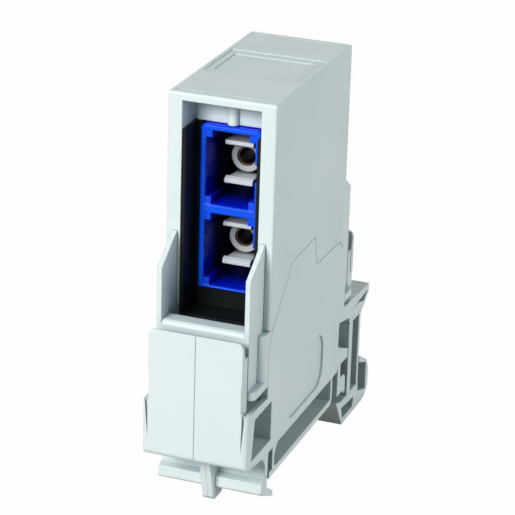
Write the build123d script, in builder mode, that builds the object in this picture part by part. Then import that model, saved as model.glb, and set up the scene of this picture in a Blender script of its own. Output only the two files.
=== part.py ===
from build123d import *
import os

# Fibre box for a 35 mm mounting rail.  All lengths are millimetres.
# X runs across the box, Y from front to back, Z up.  The origin is the middle
# of the length and width, level with the lowest face.
# A distance "back" is measured from the front face of the hood, minus is in
# front of it.  A "drop" is measured down from the top of the hood, and a
# "level" down from the lower edge of the side plates, minus is above it.

# Whole box
WIDTH = 16.55
TONGUE_REACH = 8.2

# Clearances
SEAM = 0.1
PIVOT_CLEARANCE = 0.05
SLEEVE_CLEARANCE = 0.05
LATCH_GAP = 0.2

# Hood
HOOD_LENGTH = 33.1
HOOD_DROP = 34.4
HOOD_WALL = 1.2
HOOD_COLLAR = 6.1
MOUTH_JAMB = 2.235
LINTEL_BACK = 4.9
LINTEL_DROP = 5.4
LINTEL_RIB = 0.88
LINE_WIDTH = 0.3
LINE_DEPTH = 0.18
LINE_BACK = 1.35
PANEL_MARGIN = 0.875
PANEL_FRONT = 11.2
PANEL_REAR = 23.0
PANEL_DEPTH = 0.15
PANEL_RIM = 1.05
PANEL_RIM_ENDS = 1.65
HOOD_EDGE = 0.35
HOLD_RIB = 0.95
HOLD_RIB_DROP = 5.7

# Side plates of the base, seen from the side
PLATE_THICKNESS = 1.7
PLATE_FRONT_DROP = 37.3
PLATE_NOSE_BACK = 1.4
PLATE_NOSE_DROP = 34.7
PLATE_RISE_BACK = 9.15
PLATE_RISE_DROP = 26.85
PLATE_CREST_BACK = 19.1
PLATE_CREST_DROP = 26.5
PLATE_STEP_BACK = 20.1
PLATE_STEP_DROP = 31.3
PLATE_REAR_BACK = 31.2
PLATE_REAR_DROP = 31.6
PLATE_HEEL_BACK = 34.5
PLATE_HEEL_DROP = 35.1
PLATE_TAIL_BACK = 34.9
PLATE_DROP = 54.45
LAP_FRONT = 10.4
LAP_REAR = 17.4
LAP_ROOT = 28.5
LAP_DROP = 24.6
RECESS_FRONT = 8.5
RECESS_REAR = 25.0
RECESS_TOP_LEVEL = -10.45
RECESS_LOW_LEVEL = -1.45
RECESS_DEPTH = 0.3
RECESS_RADIUS = 3.0
DOT_BACK = 8.5
DOT_LEVEL = -8.05
DOT_RADIUS = 0.35

# Box of the base between the side plates
BOX_WALL = 1.2
BOX_FRONT = 1.9
BOX_TOP = 36.3

# Front foot and claw
FOOT_TOP_LEVEL = -9.55
FOOT_TOP_REAR_LEVEL = -9.35
FOOT_BOTTOM_LEVEL = -0.9
FOOT_BOTTOM_REAR_LEVEL = 0.15
FOOT_WALL = 1.0
FOOT_SIDE = 0.875
FOOT_FLOOR_LEVEL = -1.8
FOOT_EDGE = 0.9
WINDOW_TOP_LEVEL = -8.1
WINDOW_TOP_BACK = -5.1
WINDOW_LOW_BACK = -6.2
CLAW_FRONT = -0.15
CLAW_ROOT_BACK = 1.2
CLAW_LOW_BACK = 0.9
CLAW_LOW_LEVEL = 4.95
CLAW_ROUND = 1.3
BAR_FRONT = -1.4
BAR_LEDGE_TOP_LEVEL = 3.95
BAR_LEDGE_LEVEL = 4.25
BAR_LEDGE_LOW_LEVEL = 5.85
LIP_ROOT_LEVEL = 5.65
LIP_TIP_BACK = 3.6
LIP_TIP_TOP_LEVEL = 7.45
LIP_TIP_LOW_LEVEL = 8.35
LIP_HEEL_BACK = -1.0
LIP_HEEL_LEVEL = 6.25
FIN_HALF = 0.85
FIN_TOP_BACK = -3.9
FIN_TOP_LEVEL = -0.45
FIN_FRONT = -1.9
FIN_REAR = 2.0
FIN_LOW_LEVEL = 8.15
FIN_CORNER = 0.6

# Rail seat bar under the box
SEAT_LEVEL = 4.6
SEAT_TOP_LEVEL = 3.65
SEAT_FRONT = 1.7
SEAT_POST_FRONT = 3.05
SEAT_POST_REAR = 3.9
SEAT_CORNER_LEVEL = 1.45
SEAT_CORNER_BACK = 5.1
SEAT_CORNER = 0.7
SEAT_REAR = 30.4
SEAT_REAR_WALL = 0.8
SEAT_REAR_ROUND = 1.0

# Rear leg
LEG_FRONT = 33.0
LEG_SLOT_TOP_LEVEL = -0.45
LEG_TOP_LEVEL = -8.45
LEG_WAIST_BACK = 32.6
LEG_WAIST_LEVEL = -4.25
LEDGE_TIP_BACK = 37.75
LEDGE_TIP_TOP_LEVEL = -2.15
LEDGE_TIP_LOW_LEVEL = -0.6
LEG_HOLLOW_BACK = 34.3
LEG_HOLLOW_TOP_LEVEL = -0.75
LEG_HOLLOW_LOW_LEVEL = 1.75
LEG_TOE_TOP_LEVEL = 1.85
LEG_TOE_ROUND = 1.2
LEG_TOE_FRONT = 36.0
LEG_TOE_LOW_LEVEL = 5.2
LEG_REAR = 36.95

# Rear flange and the root of the latch
FLANGE_LEVEL = -10.45
FLANGE_TIP_BACK = 47.6
FLANGE_FALL = 0.6
FLANGE_TIP = 1.25
FLANGE_HEEL_BACK = 45.35
FLANGE_HEEL = 2.95
FLANGE_PLATE = 0.95
FLANGE_WEB = 3.0
FLANGE_RIM = 0.75
HOLLOW_FRONT = 39.5
ROOT_FRONT = 37.7
ROOT_FRONT_DEPTH = 2.4
ROOT_DEPTH = 3.7

# Tongues
TONGUE_INSET = 0.975
TONGUE_SHOULDER = 6.8
TONGUE_THICKNESS = 1.0
TONGUE_CORNER = 1.0
TONGUE_TOP = 0.35
TONGUE_SLOPE = 2.6
TONGUE_RETURN = 0.9
TONGUE_RETURN_FALL = 2.8
NOTCH_TOP_LEVEL = -14.25
NOTCH_LOW_LEVEL = -10.15
NOTCH_DEPTH = 0.1
SLOT_INSET = 0.1
SLOT_WIDTH = 0.4
SLOT_DEPTH = 0.45
SLOT_LOW_LEVEL = -3.65
GROOVE_HALF = 0.04
GROOVE_DEPTH = 0.06

# Carrier with its cheeks, sills and shelves
CHEEK_INSET = 1.075
CHEEK_THICKNESS = 0.75
CHEEK_REACH = 5.6
CHEEK_TIP_DROP = 21.0
CHEEK_BEND_DROP = 24.8
SILL_DROP = 32.9
SILL_REAR = 2.9
SILL_ROUND = 0.85
SHELF_TOP = 41.9
SHELF_DROP = 43.2
SHELF_REACH = 5.8
SHELF_CORNER = 1.0
CARRIER_WALL = 1.1
CARRIER_FRONT = 2.1
CARRIER_TOP = 34.5
CARRIER_LOW = 42.5
CARRIER_FLOOR = 1.2
PAD_INSET = 0.27
PAD_BACK = 8.0
PAD_LENGTH = 1.2

# Liner of each mouth
LINER_GAP = 0.09
LINER_FRONT = 0.15
LINER_REAR = 6.0
LINER_TOP = 5.5
LINER_WALL = 0.5
LINER_PLATE = 4.8

# Coupler
COUPLER_GAP = 1.28
COUPLER_FRONT = 3.8
COUPLER_MID_DROP = 18.45
COUPLER_HALF_HEIGHT = 12.5
COUPLER_CORNER = 0.8
RIM_RISE = 0.42
RIM_LENGTH = 1.6
RIM_BEVEL = 0.25
PORT_BEVEL = 0.15
PORT_WALL = 0.87
PORT_HALF_HEIGHT = 5.675
PORT_PITCH = 12.7
GUIDE_WIDTH = 0.9
GUIDE_HEIGHT = 1.1
KEY_HALF = 1.3
KEY_LENGTH = 5.7
FLANGE_THICKNESS = 1.2
FLANGE_SPREAD = 1.23
FLANGE_RISE = 1.5

# Latch and sleeve holders in the coupler
HOLDER_PLATE = 1.6
HOLDER_FACE = 10.6
HOLDER_RADIUS = 2.35
HOLDER_MOUTH = 1.52
HOLDER_LIP = 0.4
ARM_FRONT = 7.4
ARM_OFFSET = 2.7
ARM_THICKNESS = 0.6
ARM_ROOT_HALF = 1.75
ARM_LIP_HALF = 2.2
ARM_LIP = 0.65
ARM_NOSE = 0.35
SLEEVE_BORE = 1.25
SLEEVE_RADIUS = 1.6
SLEEVE_SLIT = 0.4

# Rail latch with its two leaves.  Levels of the block are measured from its top
LEAF_INNER_BACK = 38.95
LEAF_INNER_THICKNESS = 1.7
LEAF_PITCH = 4.37
LEAF_OUTER_THICKNESS = 0.86
LEAF_LENGTH = 12.6
BLOCK_DEPTH = 4.35
LATCH_TIP_REACH = 6.15
LATCH_TIP_RISE = 0.75
LATCH_SLOPE = 2.8
LATCH_TOE = 3.2
TAB_REACH = 5.35
TAB_WALL = 1.3
TAB_FLOOR = 1.45
POCKET_DROP = 1.7
POCKET_REAR_RISE = 1.9
POCKET_RISE = 3.4
TAB_RISE = 4.6
TAB_SHOULDER = 1.2
TAB_SHOULDER_RISE = 2.45
TAB_BACK_RISE = 0.5
TAB_HEEL = 1.55
TAB_TOE = 1.6
TAB_TOE_RISE = 0.35
TAB_SOLE = 3.2
TAB_ROUND = 0.9
BLOCK_WALL = 1.3
BLOCK_WALL_FALL = 0.5
BLOCK_FLOOR = 0.9
BLOCK_FLOOR_RISE = 0.1
WINDOW_FRONT = 2.9
WINDOW_REAR = 2.05
WINDOW_LEAN = 0.5

# Sizes that follow from the ones above
HALF = WIDTH / 2
MOUTH_HALF = HALF - MOUTH_JAMB
PANEL_HALF = HALF - PANEL_MARGIN
TONGUE_HALF = HALF - TONGUE_INSET
TONGUE_RETURN_HALF = TONGUE_HALF - SEAM
CHEEK_HALF = HALF - CHEEK_INSET
CHEEK_INNER = CHEEK_HALF - CHEEK_THICKNESS
LINER_HALF = MOUTH_HALF - LINER_GAP
COUPLER_HALF = LINER_HALF - COUPLER_GAP
PORT_HALF = COUPLER_HALF - PORT_WALL
PAD_HALF = COUPLER_HALF - PAD_INSET
FLANGE_HALF = COUPLER_HALF + FLANGE_SPREAD
CLAW_LOW_DROP = PLATE_DROP + CLAW_LOW_LEVEL
BAR_LEDGE_TOP = PLATE_DROP + BAR_LEDGE_TOP_LEVEL
BAR_LEDGE_DROP = PLATE_DROP + BAR_LEDGE_LEVEL
BAR_LEDGE_LOW = PLATE_DROP + BAR_LEDGE_LOW_LEVEL
LIP_ROOT_DROP = PLATE_DROP + LIP_ROOT_LEVEL
LIP_TIP_TOP = PLATE_DROP + LIP_TIP_TOP_LEVEL
LIP_TIP_LOW = PLATE_DROP + LIP_TIP_LOW_LEVEL
LIP_HEEL_DROP = PLATE_DROP + LIP_HEEL_LEVEL
FIN_LOW = PLATE_DROP + FIN_LOW_LEVEL
FIN_TOP = PLATE_DROP + FIN_TOP_LEVEL
SEAT_DROP = PLATE_DROP + SEAT_LEVEL
SEAT_TOP = PLATE_DROP + SEAT_TOP_LEVEL
SEAT_CORNER_DROP = PLATE_DROP + SEAT_CORNER_LEVEL
LEG_TOE_LOW = PLATE_DROP + LEG_TOE_LOW_LEVEL
LEG_TOE_TOP = PLATE_DROP + LEG_TOE_TOP_LEVEL
LEG_HOLLOW_TOP = PLATE_DROP + LEG_HOLLOW_TOP_LEVEL
LEG_HOLLOW_LOW = PLATE_DROP + LEG_HOLLOW_LOW_LEVEL
LEG_SLOT_TOP = PLATE_DROP + LEG_SLOT_TOP_LEVEL
LEDGE_TIP_TOP = PLATE_DROP + LEDGE_TIP_TOP_LEVEL
LEDGE_TIP_LOW = PLATE_DROP + LEDGE_TIP_LOW_LEVEL
LEG_TOP_DROP = PLATE_DROP + LEG_TOP_LEVEL
LEG_WAIST_DROP = PLATE_DROP + LEG_WAIST_LEVEL
FLANGE_DROP = PLATE_DROP + FLANGE_LEVEL
RECESS_TOP = PLATE_DROP + RECESS_TOP_LEVEL
RECESS_LOW = PLATE_DROP + RECESS_LOW_LEVEL
DOT_DROP = PLATE_DROP + DOT_LEVEL
FOOT_TOP = PLATE_DROP + FOOT_TOP_LEVEL
FOOT_TOP_REAR = PLATE_DROP + FOOT_TOP_REAR_LEVEL
FOOT_BOTTOM = PLATE_DROP + FOOT_BOTTOM_LEVEL
FOOT_BOTTOM_REAR = PLATE_DROP + FOOT_BOTTOM_REAR_LEVEL
FOOT_FLOOR = PLATE_DROP + FOOT_FLOOR_LEVEL
WINDOW_TOP = PLATE_DROP + WINDOW_TOP_LEVEL
NOTCH_TOP = PLATE_DROP + NOTCH_TOP_LEVEL
NOTCH_LOW = PLATE_DROP + NOTCH_LOW_LEVEL
TONGUE_DROP = NOTCH_TOP - TONGUE_SHOULDER
TONGUE_RETURN_DROP = TONGUE_DROP + TONGUE_RETURN_FALL
SLOT_LOW = PLATE_DROP + SLOT_LOW_LEVEL
FLANGE_TIP_TOP = FLANGE_DROP + FLANGE_FALL
FLANGE_TIP_LOW = FLANGE_TIP_TOP + FLANGE_TIP
FLANGE_HEEL_DROP = FLANGE_TIP_TOP + FLANGE_HEEL
ROOT_FRONT_DROP = FLANGE_TIP_TOP + ROOT_FRONT_DEPTH
ROOT_DROP = FLANGE_TIP_TOP + ROOT_DEPTH
LEAF_OUTER_BACK = LEAF_INNER_BACK + LEAF_PITCH
LATCH_WALL_BACK = LEAF_OUTER_BACK + LEAF_OUTER_THICKNESS / 2 + LATCH_GAP
TAB_BACK = LATCH_WALL_BACK + TAB_REACH
LATCH_TIP_BACK = LEAF_INNER_BACK - LATCH_TIP_REACH
LATCH_TOP = ROOT_DROP + LEAF_LENGTH
HEIGHT = LATCH_TOP + BLOCK_DEPTH
FACE_Y = -(TAB_BACK - TONGUE_REACH) / 2


def at(back, drop):
    """Side-view point from its distance behind the hood face and its drop."""
    return (FACE_Y + back, HEIGHT - drop)


def rear(back):
    """The same distance, measured forward from the rear face of the hood."""
    return HOOD_LENGTH - back


def mirrored(points):
    """The same side-view outline at the other end of the hood."""
    return [(rear(back), drop) for back, drop in points]


def slab(points, x_from, x_to, mode=Mode.ADD, rounds=()):
    """Side-view outline extruded between two distances from the middle.

    Each round names a corner of the outline and its radius.
    """
    with BuildSketch(Plane.YZ.offset(x_from)) as outline:
        Polygon(*[at(back, drop) for back, drop in points], align=None)
        for corner, radius in rounds:
            fillet(outline.vertices().sort_by_distance((*at(*corner), 0))[0], radius)
    extrude(outline.sketch, amount=x_to - x_from, mode=mode)


def block(x_from, x_to, back_from, back_to, drop_from, drop_to, mode=Mode.ADD):
    """Rectangular block between pairs of distances."""
    middle = (
        (x_from + x_to) / 2,
        FACE_Y + (back_from + back_to) / 2,
        HEIGHT - (drop_from + drop_to) / 2,
    )
    with Locations(middle):
        Box(abs(x_to - x_from), abs(back_to - back_from), abs(drop_to - drop_from), mode=mode)


def plate_points(grow=0.0):
    """Outline of a side plate above the box, moved outward by a margin."""
    return [
        (-grow, PLATE_DROP),
        (-grow, PLATE_FRONT_DROP - grow),
        (PLATE_NOSE_BACK - grow, PLATE_NOSE_DROP - grow),
        (PLATE_RISE_BACK - grow / 2, PLATE_RISE_DROP - grow),
        (PLATE_CREST_BACK + grow, PLATE_CREST_DROP - grow),
        (PLATE_STEP_BACK + grow, PLATE_STEP_DROP - grow),
        (PLATE_REAR_BACK + grow / 2, PLATE_REAR_DROP - grow),
        (PLATE_HEEL_BACK + grow, PLATE_HEEL_DROP - grow),
        (PLATE_TAIL_BACK + grow, FLANGE_DROP + BOX_WALL),
        (LEG_WAIST_BACK, LEG_TOP_DROP),
        (LEG_WAIST_BACK, LEG_WAIST_DROP),
        (LEG_WAIST_BACK, PLATE_DROP),
    ]


# Hood: a five-sided cover, open below, with a mouth at each end.
HOLD_RIB_BACK = HOOD_LENGTH / 2 - FLANGE_THICKNESS - SEAM - HOLD_RIB
with BuildPart() as hood:
    block(-HALF, HALF, 0, HOOD_LENGTH, 0, HOOD_DROP)
    fillet(hood.edges().filter_by(Axis.Y).group_by(Axis.Z)[-1], HOOD_EDGE)
    fillet(hood.edges().filter_by(Axis.Z), HOOD_EDGE)
    block(-PANEL_HALF, PANEL_HALF, PANEL_FRONT, PANEL_REAR, 0, PANEL_DEPTH, Mode.SUBTRACT)
    block(
        PANEL_RIM - PANEL_HALF,
        PANEL_HALF - PANEL_RIM,
        PANEL_FRONT + PANEL_RIM_ENDS,
        PANEL_REAR - PANEL_RIM_ENDS,
        0,
        2 * PANEL_DEPTH,
        Mode.SUBTRACT,
    )
    for back in (LINE_BACK, rear(LINE_BACK)):
        line = (back - LINE_WIDTH / 2, back + LINE_WIDTH / 2)
        block(-PANEL_HALF, PANEL_HALF, *line, 0, LINE_DEPTH, Mode.SUBTRACT)
    block(-MOUTH_HALF, MOUTH_HALF, 0, HOOD_LENGTH, HOOD_WALL, HOOD_DROP, Mode.SUBTRACT)
    block(
        HOOD_WALL - HALF,
        HALF - HOOD_WALL,
        HOOD_COLLAR,
        rear(HOOD_COLLAR),
        HOOD_WALL,
        HOOD_DROP,
        Mode.SUBTRACT,
    )
    for front, back in (
        (LINTEL_BACK, HOOD_COLLAR),
        (rear(HOOD_COLLAR), rear(LINTEL_BACK)),
    ):
        block(-MOUTH_HALF, MOUTH_HALF, front, back, HOOD_WALL, LINTEL_DROP)
    for front in (HOLD_RIB_BACK, rear(HOLD_RIB_BACK + HOLD_RIB)):
        block(HOOD_WALL - HALF, HALF - HOOD_WALL, front, front + HOLD_RIB, HOOD_WALL, HOLD_RIB_DROP)
    for back in (LINTEL_BACK, rear(LINTEL_BACK)):
        with BuildSketch(Plane.XY.offset(HEIGHT - HOOD_WALL)) as rib:
            with Locations((0, FACE_Y + back)):
                Circle(LINTEL_RIB)
        extrude(amount=HOOD_WALL - LINTEL_DROP)
    slab(plate_points(SEAM), -HALF, HALF, Mode.SUBTRACT)
hood.part.label = "hood"


# Base half shell: side plate, half of the box, foot, claw, seat bar, leg and flange.
TOE_CORNER = (LEG_REAR, LEG_TOE_TOP)


def box_points():
    """Outline of the box, the leg and the flange, seen from the side."""
    return [
        (BOX_FRONT, PLATE_DROP),
        (BOX_FRONT, BOX_TOP),
        (PLATE_REAR_BACK, BOX_TOP),
        (PLATE_REAR_BACK, FLANGE_DROP),
        (PLATE_HEEL_BACK, FLANGE_DROP),
        (FLANGE_TIP_BACK, FLANGE_TIP_TOP),
        (FLANGE_TIP_BACK, FLANGE_TIP_LOW),
        (FLANGE_HEEL_BACK, FLANGE_HEEL_DROP),
        (LEAF_OUTER_BACK + LEAF_OUTER_THICKNESS / 2, ROOT_DROP),
        (LEAF_INNER_BACK - LEAF_INNER_THICKNESS / 2, ROOT_DROP),
        (ROOT_FRONT, ROOT_FRONT_DROP),
        (LEG_WAIST_BACK, LEG_TOP_DROP),
        (LEG_WAIST_BACK, LEG_WAIST_DROP),
        (LEDGE_TIP_BACK, LEDGE_TIP_TOP),
        (LEDGE_TIP_BACK, LEDGE_TIP_LOW),
        (LEG_HOLLOW_BACK, LEG_HOLLOW_TOP),
        (LEG_HOLLOW_BACK, LEG_HOLLOW_LOW),
        TOE_CORNER,
        (LEG_REAR, LEG_TOE_LOW),
        (LEG_TOE_FRONT, LEG_TOE_LOW),
        (LEG_TOE_FRONT, SEAT_DROP),
        (LEG_FRONT, SEAT_DROP),
        (LEG_FRONT, LEG_SLOT_TOP),
        (SEAT_REAR, LEG_SLOT_TOP),
        (SEAT_REAR, PLATE_DROP),
    ]


def tongue(front, drop):
    """Half of an upright tongue: rounded top corner, notch in its side edge."""
    outline = [
        (0, HEIGHT - drop),
        (0, HEIGHT - TONGUE_DROP),
        (TONGUE_HALF, HEIGHT - TONGUE_DROP),
        (TONGUE_HALF, HEIGHT - NOTCH_TOP),
        (TONGUE_HALF - NOTCH_DEPTH, HEIGHT - NOTCH_TOP),
        (TONGUE_HALF - NOTCH_DEPTH, HEIGHT - NOTCH_LOW),
        (TONGUE_HALF, HEIGHT - NOTCH_LOW),
        (TONGUE_HALF, HEIGHT - drop),
    ]
    with BuildSketch(Plane.XZ.offset(-(FACE_Y + front))) as upright:
        Polygon(*outline, align=None)
        corner = (TONGUE_HALF, HEIGHT - TONGUE_DROP, 0)
        fillet(upright.vertices().sort_by_distance(corner)[0], TONGUE_CORNER)
    extrude(upright.sketch, amount=-TONGUE_THICKNESS)


CORE_HALF = HALF - PLATE_THICKNESS
with BuildPart() as shell_right:
    # Front foot with its rounded edges, then hollowed and opened to the side
    slab(
        [
            (-TONGUE_REACH, FOOT_TOP),
            (BOX_FRONT, FOOT_TOP_REAR),
            (BOX_FRONT, PLATE_DROP),
            (CLAW_FRONT, FOOT_BOTTOM_REAR),
            (-TONGUE_REACH, FOOT_BOTTOM),
        ],
        0,
        HALF,
    )
    foot_front = shell_right.faces().sort_by(Axis.Y)[0]
    side_edge = foot_front.edges().filter_by(Axis.Z).sort_by(Axis.X)[-1]
    toe_edge = foot_front.edges().filter_by(Axis.X).sort_by(Axis.Z)[0]
    fillet([side_edge, toe_edge], FOOT_EDGE)
    slab(
        [
            (FOOT_WALL - TONGUE_REACH, FOOT_TOP),
            (FOOT_WALL - TONGUE_REACH, FOOT_FLOOR),
            (BOX_FRONT, FOOT_FLOOR),
            (BOX_FRONT, FOOT_TOP),
        ],
        0,
        HALF - FOOT_SIDE,
        Mode.SUBTRACT,
    )
    # Side plate, box, leg and flange
    slab(plate_points(), CORE_HALF, HALF)
    slab(box_points(), 0, HALF, rounds=[(TOE_CORNER, LEG_TOE_ROUND)])
    slab(
        [
            (BOX_FRONT + BOX_WALL, PLATE_DROP - BOX_WALL),
            (BOX_FRONT + BOX_WALL, BOX_TOP + BOX_WALL),
            (PLATE_REAR_BACK - BOX_WALL, BOX_TOP + BOX_WALL),
            (PLATE_REAR_BACK - BOX_WALL, PLATE_DROP - BOX_WALL),
        ],
        0,
        CORE_HALF,
        Mode.SUBTRACT,
    )
    slab(
        [
            (HOLLOW_FRONT, FLANGE_TIP_TOP + FLANGE_PLATE + FLANGE_FALL),
            (FLANGE_TIP_BACK - FLANGE_RIM, FLANGE_TIP_TOP + FLANGE_PLATE),
            (FLANGE_TIP_BACK - FLANGE_RIM, FLANGE_TIP_LOW),
            (FLANGE_HEEL_BACK - FLANGE_RIM / 2, FLANGE_HEEL_DROP - FLANGE_RIM),
            (LEAF_OUTER_BACK - FLANGE_RIM, FLANGE_TIP_LOW + FLANGE_FALL / 2),
        ],
        FLANGE_WEB,
        HALF,
        Mode.SUBTRACT,
    )
    slab(
        [
            (LAP_FRONT, LAP_ROOT),
            (LAP_FRONT, LAP_DROP),
            (LAP_REAR, LAP_DROP),
            (LAP_REAR, LAP_ROOT),
        ],
        CORE_HALF,
        HALF - HOOD_WALL - SEAM,
    )
    slab(
        [
            (WINDOW_TOP_BACK, WINDOW_TOP),
            (BOX_FRONT, WINDOW_TOP),
            (BOX_FRONT, FOOT_FLOOR),
            (WINDOW_LOW_BACK, FOOT_FLOOR),
        ],
        CORE_HALF,
        HALF,
        Mode.SUBTRACT,
    )
    # Shallow label field and gate mark on the side
    field = [
        (RECESS_FRONT, RECESS_TOP),
        (RECESS_REAR, RECESS_TOP),
        (RECESS_REAR, RECESS_LOW),
        (RECESS_FRONT, RECESS_LOW),
    ]
    slab(field, HALF - RECESS_DEPTH, HALF, Mode.SUBTRACT, [(corner, RECESS_RADIUS) for corner in field])
    with BuildSketch(Plane.YZ.offset(HALF - RECESS_DEPTH)) as gate_mark:
        with Locations(at(DOT_BACK, DOT_DROP)):
            Circle(DOT_RADIUS)
    extrude(gate_mark.sketch, amount=RECESS_DEPTH, mode=Mode.SUBTRACT)
    # Claw that hooks under the front edge of the rail
    slab(
        [
            (CLAW_FRONT - CLAW_ROUND, FOOT_BOTTOM_REAR - CLAW_ROUND / 4),
            (CLAW_FRONT, FOOT_BOTTOM_REAR - CLAW_ROUND / 4),
            (CLAW_FRONT, FOOT_BOTTOM_REAR + CLAW_ROUND),
        ],
        0,
        HALF,
    )
    slab(
        [
            (CLAW_FRONT, FOOT_FLOOR),
            (CLAW_FRONT, BAR_LEDGE_TOP),
            (BAR_FRONT, BAR_LEDGE_DROP),
            (BAR_FRONT, BAR_LEDGE_LOW),
            (LIP_HEEL_BACK, LIP_HEEL_DROP),
            (LIP_TIP_BACK, LIP_TIP_LOW),
            (LIP_TIP_BACK, LIP_TIP_TOP),
            (CLAW_LOW_BACK, LIP_ROOT_DROP),
            (CLAW_LOW_BACK, CLAW_LOW_DROP),
            (CLAW_ROOT_BACK, PLATE_DROP),
            (CLAW_ROOT_BACK, FOOT_FLOOR),
        ],
        0,
        HALF,
    )
    slab(
        [
            (FIN_TOP_BACK, FIN_TOP),
            (FIN_FRONT, FIN_LOW - FIN_CORNER),
            (FIN_FRONT + FIN_CORNER, FIN_LOW),
            (FIN_REAR - FIN_CORNER, FIN_LOW),
            (FIN_REAR, FIN_LOW - FIN_CORNER),
            (CLAW_LOW_BACK, LIP_ROOT_DROP),
            (CLAW_FRONT, FIN_TOP),
        ],
        0,
        FIN_HALF,
    )
    # Seat bar on the rail, a closed loop under the box
    slab(
        [
            (SEAT_POST_FRONT, PLATE_DROP),
            (SEAT_POST_FRONT, SEAT_TOP),
            (SEAT_FRONT, SEAT_TOP),
            (SEAT_FRONT, SEAT_DROP),
            (SEAT_REAR, SEAT_DROP),
            (SEAT_REAR, LEG_SLOT_TOP),
            (SEAT_REAR - SEAT_REAR_WALL, LEG_SLOT_TOP),
            (SEAT_REAR - SEAT_REAR_WALL, SEAT_TOP),
            (SEAT_POST_REAR, SEAT_TOP),
            (SEAT_POST_REAR, SEAT_CORNER_DROP),
            (SEAT_CORNER_BACK, PLATE_DROP),
        ],
        0,
        HALF,
        rounds=[
            ((SEAT_REAR, SEAT_DROP), SEAT_REAR_ROUND),
            ((SEAT_POST_REAR, SEAT_TOP), SEAT_CORNER),
        ],
    )
    # Tongues in front of the sills, front and rear
    for front, drop in (
        (-TONGUE_REACH, FOOT_TOP + FOOT_WALL),
        (rear(TONGUE_THICKNESS - TONGUE_REACH), FLANGE_TIP_TOP),
    ):
        tongue(front, drop)
    # Their tops are thinned from behind
    for flip in (lambda points: points, mirrored):
        thinned = [
            (TONGUE_TOP - TONGUE_REACH, TONGUE_DROP),
            (TONGUE_THICKNESS - TONGUE_REACH, TONGUE_DROP),
            (TONGUE_THICKNESS - TONGUE_REACH, TONGUE_DROP + TONGUE_SLOPE),
        ]
        slab(flip(thinned), 0, HALF, Mode.SUBTRACT)
    for front, back, drop in (
        (TONGUE_THICKNESS - TONGUE_REACH, -SHELF_REACH - SEAM, FOOT_TOP_REAR),
        (rear(-SHELF_REACH - SEAM), rear(TONGUE_THICKNESS - TONGUE_REACH), FLANGE_TIP_TOP),
    ):
        block(
            TONGUE_RETURN_HALF - TONGUE_RETURN, TONGUE_RETURN_HALF, front, back, TONGUE_RETURN_DROP, drop
        )
    # Tapered relief beside the front tongue, and the seam line between the halves
    with BuildSketch(Plane.XZ.offset(-(FACE_Y - TONGUE_REACH))) as relief:
        Polygon(
            (TONGUE_HALF + SLOT_INSET, HEIGHT - FOOT_TOP),
            (TONGUE_HALF + SLOT_INSET + SLOT_WIDTH, HEIGHT - FOOT_TOP),
            (TONGUE_HALF, HEIGHT - SLOT_LOW),
            align=None,
        )
    extrude(relief.sketch, amount=-SLOT_DEPTH, mode=Mode.SUBTRACT)
    block(
        0,
        GROOVE_HALF,
        -TONGUE_REACH,
        GROOVE_DEPTH - TONGUE_REACH,
        TONGUE_DROP,
        FOOT_BOTTOM,
        Mode.SUBTRACT,
    )
    # Pivot sockets for the two leaves of the latch
    for back, thickness in (
        (LEAF_INNER_BACK, LEAF_INNER_THICKNESS),
        (LEAF_OUTER_BACK, LEAF_OUTER_THICKNESS),
    ):
        with BuildSketch(Plane.YZ) as socket:
            with Locations(at(back, ROOT_DROP)):
                Circle(thickness / 2 + PIVOT_CLEARANCE)
        extrude(amount=HALF, mode=Mode.SUBTRACT)
shell_right.part.label = "shell_right"

with BuildPart() as shell_left:
    mirror(shell_right.part, about=Plane.YZ)
shell_left.part.label = "shell_left"

# Carrier: a tray under the coupler with a sill and two cheeks at each end.
def carrier_end(flip):
    """Sill and cheeks of one end."""
    sill = [
        (-CHEEK_REACH, SHELF_DROP),
        (-CHEEK_REACH, SILL_DROP),
        (-SILL_REAR, SILL_DROP),
        (-SILL_REAR, CARRIER_TOP),
        (-SEAM, CARRIER_TOP),
        (-SEAM, SHELF_DROP),
    ]
    cheek = [
        (-SEAM, CHEEK_TIP_DROP),
        (-CHEEK_REACH, CHEEK_BEND_DROP),
        (-CHEEK_REACH, SHELF_DROP),
        (-SEAM, SHELF_DROP),
    ]
    corner = flip(sill)[1]
    slab(flip(sill), -CHEEK_HALF, CHEEK_HALF, rounds=[(corner, SILL_ROUND)])
    for side in (-1, 1):
        slab(flip(cheek), side * CHEEK_INNER, side * CHEEK_HALF)


def rounded_wall(half, back_from, back_to, drop_from, drop_to, end=0):
    """Block across the box with two round corners: end 0 in front, -1 at the rear."""
    with BuildSketch(Plane.XY.offset(HEIGHT - drop_to)) as outline:
        with Locations((0, FACE_Y + (back_from + back_to) / 2)):
            Rectangle(2 * half, back_to - back_from)
        fillet(outline.vertices().group_by(Axis.Y)[end], SHELF_CORNER)
    extrude(outline.sketch, amount=drop_to - drop_from)


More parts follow.
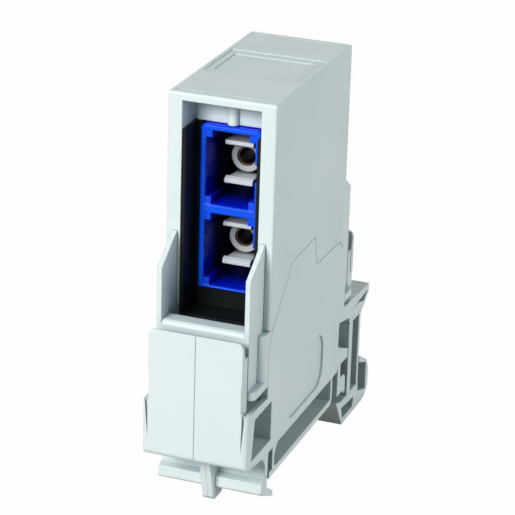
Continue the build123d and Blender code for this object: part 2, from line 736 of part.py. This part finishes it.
with BuildPart() as carrier:
    carrier_end(lambda points: points)
    carrier_end(mirrored)
    # End walls under the hood, and the shelves that stand out under the cheeks
    rounded_wall(HALF, -CARRIER_FRONT, PLATE_NOSE_BACK, CARRIER_TOP, CARRIER_LOW)
    block(
        SEAM - CORE_HALF,
        CORE_HALF - SEAM,
        rear(PLATE_NOSE_BACK),
        rear(-CARRIER_FRONT),
        CARRIER_TOP,
        CARRIER_LOW,
    )
    rounded_wall(HALF, -SHELF_REACH, -SEAM, SHELF_TOP, SHELF_DROP)
    rounded_wall(HALF, rear(-SEAM), rear(-SHELF_REACH), SHELF_TOP, SHELF_DROP, end=-1)
    slab(plate_points(SEAM), CORE_HALF - SEAM, HALF, Mode.SUBTRACT)
    slab(plate_points(SEAM), SEAM - CORE_HALF, -HALF, Mode.SUBTRACT)
    block(
        SEAM - CORE_HALF,
        CORE_HALF - SEAM,
        0,
        rear(0),
        CARRIER_TOP + SEAM,
        BOX_TOP + CARRIER_FLOOR,
        Mode.SUBTRACT,
    )
    block(SEAM - CORE_HALF, CORE_HALF - SEAM, -SILL_REAR, rear(-SILL_REAR), BOX_TOP - CARRIER_FLOOR, BOX_TOP)
    block(SEAM - CORE_HALF, CORE_HALF - SEAM, -SEAM, BOX_FRONT - SEAM, BOX_TOP, CARRIER_LOW)
    block(
        SEAM - CORE_HALF,
        CORE_HALF - SEAM,
        rear(BOX_FRONT - SEAM),
        rear(-SEAM),
        BOX_TOP,
        CARRIER_LOW,
        Mode.SUBTRACT,
    )
    for front, back in (
        (CARRIER_WALL - CHEEK_REACH, -CARRIER_WALL),
        (rear(-CARRIER_WALL), rear(CARRIER_WALL - CHEEK_REACH)),
    ):
        block(
            CARRIER_WALL - CHEEK_INNER,
            CHEEK_INNER - CARRIER_WALL,
            front,
            back,
            BOX_TOP,
            SHELF_DROP,
            Mode.SUBTRACT,
        )
    # Cross ribs: the outer pair carries the coupler, the inner pair its flange
    for front, length in (
        (PAD_BACK, PAD_LENGTH),
        (rear(PAD_BACK + PAD_LENGTH), PAD_LENGTH),
        (HOLD_RIB_BACK, HOLD_RIB),
        (rear(HOLD_RIB_BACK + HOLD_RIB), HOLD_RIB),
    ):
        block(
            -PAD_HALF,
            PAD_HALF,
            front,
            front + length,
            COUPLER_MID_DROP + COUPLER_HALF_HEIGHT,
            BOX_TOP - CARRIER_FLOOR,
        )
carrier.part.label = "carrier"

# Liners: a dark frame in each mouth, open above, that closes the space round the coupler.
LINER_LOW = CARRIER_TOP - SEAM
with BuildPart() as liner_front:
    block(-LINER_HALF, LINER_HALF, LINER_FRONT, LINER_REAR, LINER_TOP, LINER_LOW)
    block(
        LINER_WALL - LINER_HALF,
        LINER_HALF - LINER_WALL,
        LINER_FRONT,
        LINER_PLATE,
        LINER_TOP,
        LINER_LOW - LINER_WALL,
        Mode.SUBTRACT,
    )
    block(
        -COUPLER_HALF - SEAM,
        COUPLER_HALF + SEAM,
        LINER_FRONT,
        LINER_REAR,
        LINER_TOP,
        COUPLER_MID_DROP + COUPLER_HALF_HEIGHT + SEAM,
        Mode.SUBTRACT,
    )
liner_front.part.label = "liner_front"

with BuildPart() as liner_rear:
    mirror(liner_front.part, about=Plane.XZ.offset(-(FACE_Y + HOOD_LENGTH / 2)))
liner_rear.part.label = "liner_rear"

# Coupler: two housings, joined at the middle of the hood, with two ports each.
COUPLER_TOP = COUPLER_MID_DROP - COUPLER_HALF_HEIGHT
COUPLER_LOW = COUPLER_MID_DROP + COUPLER_HALF_HEIGHT
COUPLER_JOINT = HOOD_LENGTH / 2
PORT_DROPS = (COUPLER_MID_DROP - PORT_PITCH / 2, COUPLER_MID_DROP + PORT_PITCH / 2)
with BuildPart() as coupler_front:
    for back, top in ((COUPLER_JOINT, COUPLER_TOP), (COUPLER_FRONT + RIM_LENGTH, COUPLER_TOP - RIM_RISE)):
        with BuildSketch(Plane.XZ.offset(-(FACE_Y + COUPLER_FRONT))) as housing:
            with Locations((0, HEIGHT - (top + COUPLER_LOW) / 2)):
                Rectangle(2 * COUPLER_HALF, COUPLER_LOW - top)
            fillet(housing.vertices().group_by(Axis.Y)[-1], COUPLER_CORNER)
        extrude(housing.sketch, amount=COUPLER_FRONT - back)
    chamfer(coupler_front.faces().sort_by(Axis.Y)[0].outer_wire().edges(), RIM_BEVEL)
    block(
        -FLANGE_HALF,
        FLANGE_HALF,
        COUPLER_JOINT - FLANGE_THICKNESS,
        COUPLER_JOINT,
        COUPLER_TOP - FLANGE_RISE,
        COUPLER_LOW + FLANGE_RISE,
    )
    for drop in PORT_DROPS:
        block(
            -PORT_HALF,
            PORT_HALF,
            COUPLER_FRONT,
            COUPLER_JOINT,
            drop - PORT_HALF_HEIGHT,
            drop + PORT_HALF_HEIGHT,
            Mode.SUBTRACT,
        )
    port_rims = coupler_front.faces().sort_by(Axis.Y)[0].inner_wires()
    chamfer([edge for wire in port_rims for edge in wire.edges()], PORT_BEVEL)
    for drop in PORT_DROPS:
        top = drop - PORT_HALF_HEIGHT
        low = drop + PORT_HALF_HEIGHT
        for side in (-1, 1):
            for edge, inner in ((top, top + GUIDE_HEIGHT), (low, low - GUIDE_HEIGHT)):
                block(
                    side * PORT_HALF,
                    side * (PORT_HALF - GUIDE_WIDTH),
                    COUPLER_FRONT + PORT_BEVEL,
                    COUPLER_JOINT - HOLDER_PLATE,
                    edge,
                    inner,
                )
        block(
            PORT_HALF,
            COUPLER_HALF,
            COUPLER_FRONT,
            COUPLER_FRONT + KEY_LENGTH,
            drop - KEY_HALF,
            drop + KEY_HALF,
            Mode.SUBTRACT,
        )
coupler_front.part.label = "coupler_front"

COUPLER_PLANE = Plane.XZ.offset(-(FACE_Y + COUPLER_JOINT))
with BuildPart() as coupler_rear:
    mirror(coupler_front.part, about=COUPLER_PLANE)
coupler_rear.part.label = "coupler_rear"


# Holders: a base plate, a tube for the split sleeve and two sprung arms.
def ring(radius, back_from, back_to, drop, mode=Mode.ADD):
    """Round bar along the port axis between two distances."""
    with BuildSketch(Plane.XZ.offset(-(FACE_Y + back_from))) as profile:
        with Locations((0, HEIGHT - drop)):
            Circle(radius)
    extrude(profile.sketch, amount=back_from - back_to, mode=mode)


def holder(drop):
    """Front holder on the port axis at a drop below the hood top."""
    with BuildPart() as made:
        block(
            SEAM - PORT_HALF,
            PORT_HALF - SEAM,
            COUPLER_JOINT - HOLDER_PLATE + SEAM,
            COUPLER_JOINT,
            drop - PORT_HALF_HEIGHT + SEAM,
            drop + PORT_HALF_HEIGHT - SEAM,
        )
        ring(HOLDER_RADIUS, HOLDER_FACE, COUPLER_JOINT, drop)
        ring(HOLDER_MOUTH, HOLDER_FACE, COUPLER_JOINT, drop, Mode.SUBTRACT)
        ring(
            SLEEVE_RADIUS + SLEEVE_CLEARANCE, HOLDER_FACE + HOLDER_LIP, COUPLER_JOINT, drop, Mode.SUBTRACT
        )
        for side in (-1, 1):
            level = HEIGHT - drop + side * ARM_OFFSET
            with BuildSketch(Plane.XY.offset(level)) as arm:
                Polygon(
                    (-ARM_ROOT_HALF, FACE_Y + COUPLER_JOINT),
                    (-ARM_ROOT_HALF, FACE_Y + HOLDER_FACE),
                    (-ARM_LIP_HALF, FACE_Y + ARM_FRONT + ARM_LIP),
                    (-ARM_LIP_HALF, FACE_Y + ARM_FRONT),
                    (ARM_LIP_HALF, FACE_Y + ARM_FRONT),
                    (ARM_LIP_HALF, FACE_Y + ARM_FRONT + ARM_LIP),
                    (ARM_ROOT_HALF, FACE_Y + HOLDER_FACE),
                    (ARM_ROOT_HALF, FACE_Y + COUPLER_JOINT),
                    align=None,
                )
            extrude(arm.sketch, amount=side * ARM_THICKNESS)
            with BuildSketch(Plane.YZ.offset(-ARM_LIP_HALF)) as nose:
                Polygon(
                    at(ARM_FRONT, drop - side * ARM_OFFSET),
                    at(ARM_FRONT + ARM_LIP, drop - side * (ARM_OFFSET - ARM_NOSE)),
                    at(ARM_FRONT + 2 * ARM_LIP, drop - side * ARM_OFFSET),
                    align=None,
                )
            extrude(nose.sketch, amount=2 * ARM_LIP_HALF)
    return made.part


def sleeve(drop):
    """Split tube that lines up the two plug tips."""
    length = 2 * (COUPLER_JOINT - HOLDER_FACE - HOLDER_LIP - SLEEVE_CLEARANCE)
    front = COUPLER_JOINT - length / 2
    with BuildPart() as made:
        ring(SLEEVE_RADIUS, front, front + length, drop)
        ring(SLEEVE_BORE, front, front + length, drop, Mode.SUBTRACT)
        block(
            -SLEEVE_SLIT / 2,
            SLEEVE_SLIT / 2,
            front,
            front + length,
            drop - SLEEVE_RADIUS,
            drop,
            Mode.SUBTRACT,
        )
    return made.part


inner_parts = {}
for level, drop in zip(("upper", "lower"), PORT_DROPS):
    with BuildPart() as holder_front:
        add(holder(drop))
    with BuildPart() as holder_rear:
        mirror(holder(drop), about=COUPLER_PLANE)
    with BuildPart() as split_sleeve:
        add(sleeve(drop))
    inner_parts["holder_front_" + level] = holder_front.part
    inner_parts["holder_rear_" + level] = holder_rear.part
    inner_parts["sleeve_" + level] = split_sleeve.part


# Leaves: two flat springs of the same length, so the block stays level.
def leaf(back, thickness):
    """Leaf between its two pivot lines, with round ends."""
    with BuildPart() as made:
        slab(
            [
                (back - thickness / 2, ROOT_DROP),
                (back + thickness / 2, ROOT_DROP),
                (back + thickness / 2, LATCH_TOP),
                (back - thickness / 2, LATCH_TOP),
            ],
            -HALF,
            HALF,
        )
        for drop in (ROOT_DROP, LATCH_TOP):
            with BuildSketch(Plane.YZ.offset(-HALF)) as end:
                with Locations(at(back, drop)):
                    Circle(thickness / 2)
            extrude(end.sketch, amount=WIDTH)
    return made.part


with BuildPart() as leaf_inner:
    add(leaf(LEAF_INNER_BACK, LEAF_INNER_THICKNESS))
with BuildPart() as leaf_outer:
    add(leaf(LEAF_OUTER_BACK, LEAF_OUTER_THICKNESS))
inner_parts["leaf_inner"] = leaf_inner.part
inner_parts["leaf_outer"] = leaf_outer.part

# Rail latch: the sliding block with its claw, and the tab for the screwdriver.
TAB_REAR_TOP = (TAB_BACK, LATCH_TOP - TAB_BACK_RISE)
TAB_REAR_LOW = (TAB_BACK, HEIGHT - TAB_HEEL)
with BuildPart() as rail_latch:
    slab(
        [
            (LATCH_TIP_BACK, LATCH_TOP - LATCH_TIP_RISE),
            (LATCH_TIP_BACK + LATCH_SLOPE, LATCH_TOP),
            (LATCH_WALL_BACK, LATCH_TOP),
            (LATCH_WALL_BACK, LATCH_TOP + POCKET_DROP),
            (TAB_BACK - TAB_WALL, HEIGHT - TAB_FLOOR),
            (TAB_BACK - TAB_WALL, LATCH_TOP - POCKET_REAR_RISE),
            (LATCH_WALL_BACK + LATCH_GAP, LATCH_TOP - POCKET_RISE),
            (LATCH_WALL_BACK + LATCH_GAP, LATCH_TOP - TAB_RISE),
            (TAB_BACK - TAB_SHOULDER, LATCH_TOP - TAB_SHOULDER_RISE),
            TAB_REAR_TOP,
            TAB_REAR_LOW,
            (TAB_BACK - TAB_TOE, HEIGHT - TAB_TOE_RISE),
            (TAB_BACK - TAB_SOLE, HEIGHT),
            (LATCH_TIP_BACK + LATCH_TOE, HEIGHT),
        ],
        -HALF,
        HALF,
        rounds=[(TAB_REAR_TOP, TAB_ROUND), (TAB_REAR_LOW, TAB_ROUND)],
    )
    slab(
        [
            (LATCH_TIP_BACK + WINDOW_FRONT, LATCH_TOP + BLOCK_WALL),
            (LATCH_WALL_BACK - WINDOW_REAR, LATCH_TOP + BLOCK_WALL + BLOCK_WALL_FALL),
            (LATCH_WALL_BACK - WINDOW_REAR - WINDOW_LEAN, HEIGHT - BLOCK_FLOOR),
            (LATCH_TIP_BACK + WINDOW_FRONT + WINDOW_LEAN, HEIGHT - BLOCK_FLOOR - BLOCK_FLOOR_RISE),
        ],
        -HALF,
        HALF,
        Mode.SUBTRACT,
    )
    for back, thickness in (
        (LEAF_INNER_BACK, LEAF_INNER_THICKNESS),
        (LEAF_OUTER_BACK, LEAF_OUTER_THICKNESS),
    ):
        with BuildSketch(Plane.YZ.offset(-HALF)) as socket:
            with Locations(at(back, LATCH_TOP)):
                Circle(thickness / 2 + PIVOT_CLEARANCE)
        extrude(amount=WIDTH, mode=Mode.SUBTRACT)
rail_latch.part.label = "rail_latch"
inner_parts["rail_latch"] = rail_latch.part

os.makedirs("parts", exist_ok=True)
export_step(hood.part, "parts/hood.step")
export_step(shell_right.part, "parts/shell_right.step")
export_step(shell_left.part, "parts/shell_left.step")
export_step(carrier.part, "parts/carrier.step")
export_step(coupler_front.part, "parts/coupler_front.step")
export_step(coupler_rear.part, "parts/coupler_rear.step")
export_step(liner_front.part, "parts/liner_front.step")
export_step(liner_rear.part, "parts/liner_rear.step")
for name, piece in inner_parts.items():
    piece.label = name
    export_step(piece, "parts/" + name + ".step")
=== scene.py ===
"""Looks, camera and light for the rail mounted fibre box.

All lengths are metres, in the frame of the CAD model, unless a name says
otherwise.  The scene adds no piece: it dresses the CAD nodes.
"""

import bpy
from mathutils import Matrix, Vector


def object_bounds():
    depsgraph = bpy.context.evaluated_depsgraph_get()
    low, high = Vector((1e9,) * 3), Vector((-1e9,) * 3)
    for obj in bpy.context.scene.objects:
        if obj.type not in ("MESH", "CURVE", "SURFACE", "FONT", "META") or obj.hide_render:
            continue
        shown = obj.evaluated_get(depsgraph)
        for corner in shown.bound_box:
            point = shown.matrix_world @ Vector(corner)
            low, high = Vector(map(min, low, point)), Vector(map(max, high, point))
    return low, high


MM = 0.001

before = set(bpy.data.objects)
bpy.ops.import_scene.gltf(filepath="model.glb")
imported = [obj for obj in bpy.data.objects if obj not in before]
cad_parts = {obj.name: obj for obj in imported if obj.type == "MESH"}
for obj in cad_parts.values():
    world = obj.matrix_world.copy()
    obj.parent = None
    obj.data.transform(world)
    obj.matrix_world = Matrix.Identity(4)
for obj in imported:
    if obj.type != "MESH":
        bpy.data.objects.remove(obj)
cad_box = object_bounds()
scene = bpy.context.scene
scene.view_settings.view_transform = "Standard"

# Camera fitted to the photograph: the focal length in its pixels, the place,
# and what points right, down and ahead in the picture
PHOTO_PIXELS = 515.0
FOCAL_PIXELS = 2397.56
SENSOR_MM = 36.0
CAMERA_PLACE_MM = (115.643, -320.879, 169.911)
CAMERA_RIGHT = (0.93499886, 0.35348307, 0.02875495)
CAMERA_DOWN = (0.15632485, -0.33799883, -0.92807291)
CAMERA_AHEAD = (-0.31833892, 0.87224223, -0.37128671)
CLIP_NEAR = 0.01
CLIP_FAR = 10.0

camera_data = bpy.data.cameras.new("photo_camera")
camera_data.sensor_width = SENSOR_MM
camera_data.lens = SENSOR_MM * FOCAL_PIXELS / PHOTO_PIXELS
camera_data.clip_start = CLIP_NEAR
camera_data.clip_end = CLIP_FAR
camera = bpy.data.objects.new("photo_camera", camera_data)
scene.collection.objects.link(camera)
axes = Matrix((Vector(CAMERA_RIGHT), -Vector(CAMERA_DOWN), -Vector(CAMERA_AHEAD)))
place = Matrix.Translation(Vector(CAMERA_PLACE_MM) * MM)
camera.matrix_world = place @ axes.transposed().to_4x4()
scene.camera = camera


def add_node(tree, kind, sockets=None, **settings):
    """Add a node with its settings and the values of its input sockets."""
    made = tree.nodes.new(kind)
    for key, value in settings.items():
        setattr(made, key, value)
    for key, value in (sockets or {}).items():
        made.inputs[key].default_value = value
    return made


# Materials

# Scales of the noise, in repeats per metre
CLOUD_SCALE = 90.0
FLECK_SCALE = 1400.0
GRAIN_SCALE = 3800.0
STREAK_SCALE = 5200.0
STREAK_STRETCH = (1.0, 0.06, 1.0)

# Heights of the bumps
GRAIN_HEIGHT = 0.00006
CLOUD_HEIGHT = 0.0004
STREAK_HEIGHT = 0.00003

# The middle of the coupler lies this far in front of the origin.  Places along
# the ports are distances from it, forwards and backwards alike.
COUPLER_MIDDLE = 0.004
# The coupler's walls get a painted darker blue from FACE_EDGE to FACE_BACK, so only its front
# faces keep the lit blue, and painted shade deepens to near black from PORT_MOUTH to
# PORT_DEEP.
FACE_EDGE = 0.0127
FACE_BACK = 0.0122
PORT_MOUTH = 0.0126
PORT_DEEP = 0.0075
HOLDER_MOUTH = 0.0064
HOLDER_DEEP = 0.0048
# The sleeve's bore is painted dark as shade from SLEEVE_RIM to SLEEVE_BORE
SLEEVE_RIM = 0.00545
SLEEVE_BORE = 0.0053

# Gaps narrower than about this reach get painted shade
GAP_REACH = 0.0045
SHADING_SAMPLES = 8
EDGE_SAMPLES = 6


class Shader:
    """The nodes of one material, in the coordinates of its object."""

    def __init__(self, name):
        self.material = bpy.data.materials.new(name)
        self.material.use_nodes = True
        self.tree = self.material.node_tree
        self.tree.nodes.clear()
        out = self.node("ShaderNodeOutputMaterial")
        self.bsdf = self.node("ShaderNodeBsdfPrincipled")
        self.link(self.bsdf.outputs["BSDF"], out.inputs["Surface"])
        self.coords = self.node("ShaderNodeTexCoord").outputs["Object"]

    def node(self, kind, sockets=None, **settings):
        return add_node(self.tree, kind, sockets, **settings)

    def link(self, source, target):
        self.tree.links.new(source, target)

    def feed(self, source, socket):
        self.link(source, self.bsdf.inputs[socket])

    def noise(self, scale, detail=2.0, rough=0.5, coords=None):
        made = self.node(
            "ShaderNodeTexNoise", {"Scale": scale, "Detail": detail, "Roughness": rough}
        )
        self.link(coords or self.coords, made.inputs["Vector"])
        return made.outputs["Fac"]

    def span(self, source, low, high, start=0.3, end=0.7):
        """Low where the source is at start, high where it is at end."""
        made = self.node(
            "ShaderNodeMapRange",
            {"From Min": start, "From Max": end, "To Min": low, "To Max": high},
        )
        self.link(source, made.inputs["Value"])
        return made.outputs["Result"]

    def mix(self, factor, first, second):
        made = self.node("ShaderNodeMix", data_type="RGBA")
        self.link(factor, made.inputs["Factor"])
        for socket, value in ((made.inputs["A"], first), (made.inputs["B"], second)):
            if isinstance(value, tuple):
                socket.default_value = (*value, 1.0)
            else:
                self.link(value, socket)
        return made.outputs["Result"]

    def depth(self, near, far):
        """0 from the mouths to near, 1 beyond far, along the ports."""
        parts = self.node("ShaderNodeSeparateXYZ")
        self.link(self.coords, parts.inputs["Vector"])
        along = self.node("ShaderNodeMath", {1: COUPLER_MIDDLE}, operation="ADD")
        self.link(parts.outputs["Y"], along.inputs[0])
        distance = self.node("ShaderNodeMath", operation="ABSOLUTE")
        self.link(along.outputs["Value"], distance.inputs[0])
        return self.span(distance.outputs["Value"], 1.0, 0.0, far, near)

    def painted_crevice_shade(self):
        """Painted shade mask: 0 on an open face, 1 in a gap that is narrow for GAP_REACH."""
        made = self.node(
            "ShaderNodeAmbientOcclusion", {"Distance": GAP_REACH}, samples=SHADING_SAMPLES
        )
        return self.span(made.outputs["AO"], 1.0, 0.0, 0.15, 0.85)

    def soft_edges(self, radius):
        made = self.node("ShaderNodeBevel", {"Radius": radius}, samples=EDGE_SAMPLES)
        return made.outputs["Normal"]

    def bump(self, source, strength, distance, below=None):
        made = self.node("ShaderNodeBump", {"Strength": strength, "Distance": distance})
        self.link(source, made.inputs["Height"])
        if below is not None:
            self.link(below, made.inputs["Normal"])
        return made.outputs["Normal"]


def moulded(
    name, colour, shade, roughness, grain=0.35, edge=0.00022, gloss=0.4, gap_shade=None, depths=()
):
    """Moulded plastic: eroded grain, faint flow mottling and uneven gloss.

    The gap colour is painted shade in narrow gaps and corners, and depths gives
    colours along the ports, each with the places where it starts and is full.
    """
    s = Shader(name)
    cloud = s.noise(CLOUD_SCALE, 3.0)
    fleck = s.noise(FLECK_SCALE, 2.0)
    tint = s.mix(s.span(cloud, 0.0, 1.0), colour, shade)
    tint = s.mix(s.span(fleck, 0.0, 0.25), tint, shade)
    # Painted shade in narrow gaps and corners
    if gap_shade is not None:
        tint = s.mix(s.painted_crevice_shade(), tint, gap_shade)
    # Colours along the ports; on the coupler these are painted light and painted shade
    for near, far, dark in depths:
        tint = s.mix(s.depth(near, far), tint, dark)
    s.feed(tint, "Base Color")
    s.feed(s.span(cloud, roughness - 0.05, roughness + 0.06), "Roughness")
    grained = s.bump(s.noise(GRAIN_SCALE, 3.0, 0.6), grain, GRAIN_HEIGHT, s.soft_edges(edge))
    s.feed(s.bump(cloud, 0.12, CLOUD_HEIGHT, grained), "Normal")
    s.bsdf.inputs["Specular IOR Level"].default_value = gloss
    return s.material


def bronze():
    """Drawn bronze strip, rolled into a tube."""
    s = Shader("bronze_tube")
    stretched = s.node("ShaderNodeMapping", {"Scale": STREAK_STRETCH})
    s.link(s.coords, stretched.inputs["Vector"])
    streaks = s.noise(STREAK_SCALE, coords=stretched.outputs["Vector"])
    metal = s.mix(s.span(streaks, 0.0, 1.0), (0.10, 0.053, 0.027), (0.16, 0.09, 0.048))
    # The bore is painted dark as shade; only the rim at each end is bright
    s.feed(s.mix(s.depth(SLEEVE_RIM, SLEEVE_BORE), metal, (0.012, 0.009, 0.007)), "Base Color")
    s.bsdf.inputs["Metallic"].default_value = 1.0
    s.feed(s.span(streaks, 0.28, 0.42), "Roughness")
    s.feed(s.bump(streaks, 0.25, STREAK_HEIGHT), "Normal")
    return s.material


# Painted shade: the grey that narrow gaps and corners of the grey plastics are darkened to
GREY_PAINTED_GAP_SHADE = (0.40, 0.50, 0.52)
GREY = moulded(
    "housing_plastic", (0.74, 0.835, 0.83), (0.71, 0.81, 0.805), 0.42, gap_shade=GREY_PAINTED_GAP_SHADE
)
PALE = moulded(
    "base_plastic", (0.75, 0.845, 0.835), (0.72, 0.82, 0.81), 0.40, gap_shade=GREY_PAINTED_GAP_SHADE
)
# Painted light and shade on the coupler: lit blue front faces, darker blue walls, near black
# deep in the ports
BLUE = moulded(
    "coupler_plastic",
    (0.003, 0.100, 0.92),
    (0.002, 0.080, 0.84),
    0.26,
    grain=0.25,
    edge=0.0002,
    gloss=0.2,
    depths=(
        (FACE_EDGE, FACE_BACK, (0.001, 0.014, 0.84)),
        (PORT_MOUTH, PORT_DEEP, (0.0005, 0.002, 0.06)),
    ),
)
BLACK = moulded(
    "liner_plastic",
    (0.006, 0.008, 0.009),
    (0.004, 0.006, 0.006),
    0.5,
    grain=0.3,
    edge=0.00008,
    gloss=0.15,
)
WHITE = moulded(
    "holder_plastic",
    (0.66, 0.70, 0.705),
    (0.62, 0.665, 0.675),
    0.38,
    depths=((HOLDER_MOUTH, HOLDER_DEEP, (0.02, 0.025, 0.03)),),
)
BRONZE = bronze()

# The look of a node goes by the first word of its name
LOOKS = {
    "hood": GREY,
    "carrier": PALE,
    "shell": PALE,
    "leaf": PALE,
    "rail": PALE,
    "coupler": BLUE,
    "liner": BLACK,
    "holder": WHITE,
    "sleeve": BRONZE,
}
for name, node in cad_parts.items():
    node.data.materials.clear()
    node.data.materials.append(LOOKS[name.split("_")[0]])


# Floor, backdrop and light
PLAIN_WHITE = (1.0, 1.0, 1.0, 1.0)
WORLD_TINT = (0.92, 0.97, 1.0, 1.0)
WORLD_STRENGTH = 0.06
FLOOR_SIZE = 6.0
FLOOR_GAP = 0.0001
FLOOR_GREY = (0.35, 0.35, 0.35, 1.0)
FLOOR_WHITENESS = 0.985

# Name, place, width and height, watts, colour
AIM = (0.0, 0.0, 0.035)
PANELS = (
    ("front_panel", (-0.22, -0.72, 0.43), (0.35, 0.30), 7.25, (1.0, 1.0, 1.0)),
    ("side_panel", (0.72, 0.0, 0.26), (0.45, 0.45), 2.8, (0.95, 0.985, 1.0)),
    ("back_panel", (-0.20, 0.78, 0.06), (0.45, 0.30), 2.6, (1.0, 1.0, 1.0)),
)
# Its mirror image would show in the roof
NOT_MIRRORED = "back_panel"


def panel(name, place, size, power, colour):
    data = bpy.data.lights.new(name, "AREA")
    data.energy = power
    data.color = colour
    data.shape = "RECTANGLE"
    data.size, data.size_y = size
    lamp = bpy.data.objects.new(name, data)
    scene.collection.objects.link(lamp)
    lamp.location = place
    towards = Vector(AIM) - Vector(place)
    lamp.rotation_euler = towards.to_track_quat("-Z", "Y").to_euler()
    lamp.visible_glossy = name != NOT_MIRRORED


def white_for_eye(tree, light, shown):
    """Show one shader to the eye and in mirror images, and light with the other."""
    path = add_node(tree, "ShaderNodeLightPath")
    mirrored = add_node(tree, "ShaderNodeMath", operation="MAXIMUM")
    tree.links.new(path.outputs["Is Glossy Ray"], mirrored.inputs[0])
    tree.links.new(path.outputs["Is Transmission Ray"], mirrored.inputs[1])
    seen = add_node(tree, "ShaderNodeMath", operation="MAXIMUM")
    tree.links.new(path.outputs["Is Camera Ray"], seen.inputs[0])
    tree.links.new(mirrored.outputs["Value"], seen.inputs[1])
    mixed = add_node(tree, "ShaderNodeMixShader")
    tree.links.new(seen.outputs["Value"], mixed.inputs["Fac"])
    tree.links.new(light, mixed.inputs[1])
    tree.links.new(shown, mixed.inputs[2])
    return mixed.outputs["Shader"]


def make_world():
    world = bpy.data.worlds.new("studio")
    scene.world = world
    world.use_nodes = True
    tree = world.node_tree
    tree.nodes.clear()
    soft = add_node(
        tree, "ShaderNodeBackground", {"Color": WORLD_TINT, "Strength": WORLD_STRENGTH}
    )
    plain = add_node(tree, "ShaderNodeBackground", {"Color": PLAIN_WHITE, "Strength": 1.0})
    out = add_node(tree, "ShaderNodeOutputWorld")
    shader = white_for_eye(tree, soft.outputs["Background"], plain.outputs["Background"])
    tree.links.new(shader, out.inputs["Surface"])


def make_floor():
    """White to the eye but for the shadow of the object, and grey as it lights."""
    height = cad_box[0][2] - FLOOR_GAP
    bpy.ops.mesh.primitive_plane_add(size=FLOOR_SIZE, location=(0.0, 0.0, height))
    floor = bpy.context.object
    floor.name = "floor"
    ground = bpy.data.materials.new("floor_white")
    ground.use_nodes = True
    tree = ground.node_tree
    tree.nodes.clear()
    matt = add_node(tree, "ShaderNodeBsdfDiffuse", {"Color": FLOOR_GREY})
    glow = add_node(tree, "ShaderNodeEmission", {"Strength": 1.0})
    blend = add_node(tree, "ShaderNodeMixShader", {"Fac": FLOOR_WHITENESS})
    tree.links.new(matt.outputs["BSDF"], blend.inputs[1])
    tree.links.new(glow.outputs["Emission"], blend.inputs[2])
    out = add_node(tree, "ShaderNodeOutputMaterial")
    shader = white_for_eye(tree, matt.outputs["BSDF"], blend.outputs["Shader"])
    tree.links.new(shader, out.inputs["Surface"])
    floor.data.materials.append(ground)


make_world()
make_floor()
for settings in PANELS:
    panel(*settings)
